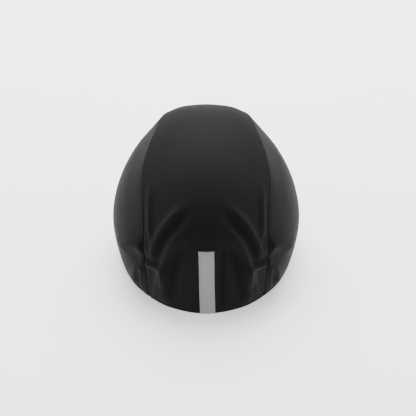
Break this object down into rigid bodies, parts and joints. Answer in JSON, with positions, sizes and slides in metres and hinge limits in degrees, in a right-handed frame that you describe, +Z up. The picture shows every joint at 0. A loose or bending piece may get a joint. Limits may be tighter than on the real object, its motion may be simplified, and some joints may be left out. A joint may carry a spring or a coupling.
{
  "type": "cycling cap",
  "caption": "Soft three-panel cycling cap: a wide centre panel between two ear panels, a short peak at the front and a strip of reflective tape up the back.",
  "frame": {"origin": "on the surface that the cap stands on, under the middle of its box", "axes": "+Z up, +Y forward over the peak, +X towards the wearer's right ear"},
  "size_m": [0.1684, 0.2604, 0.134],
  "materials": {
    "softshell": "black softshell cloth with a soft satin sheen",
    "reflective_film": "grey retro-reflective film on a cloth backing"
  },
  "bodies": {
    "root": {"centre_panel": "softshell", "side_panel_left": "softshell", "side_panel_right": "softshell", "peak": "softshell", "reflective_tape": "reflective_film"}
  },
  "joints": []
}
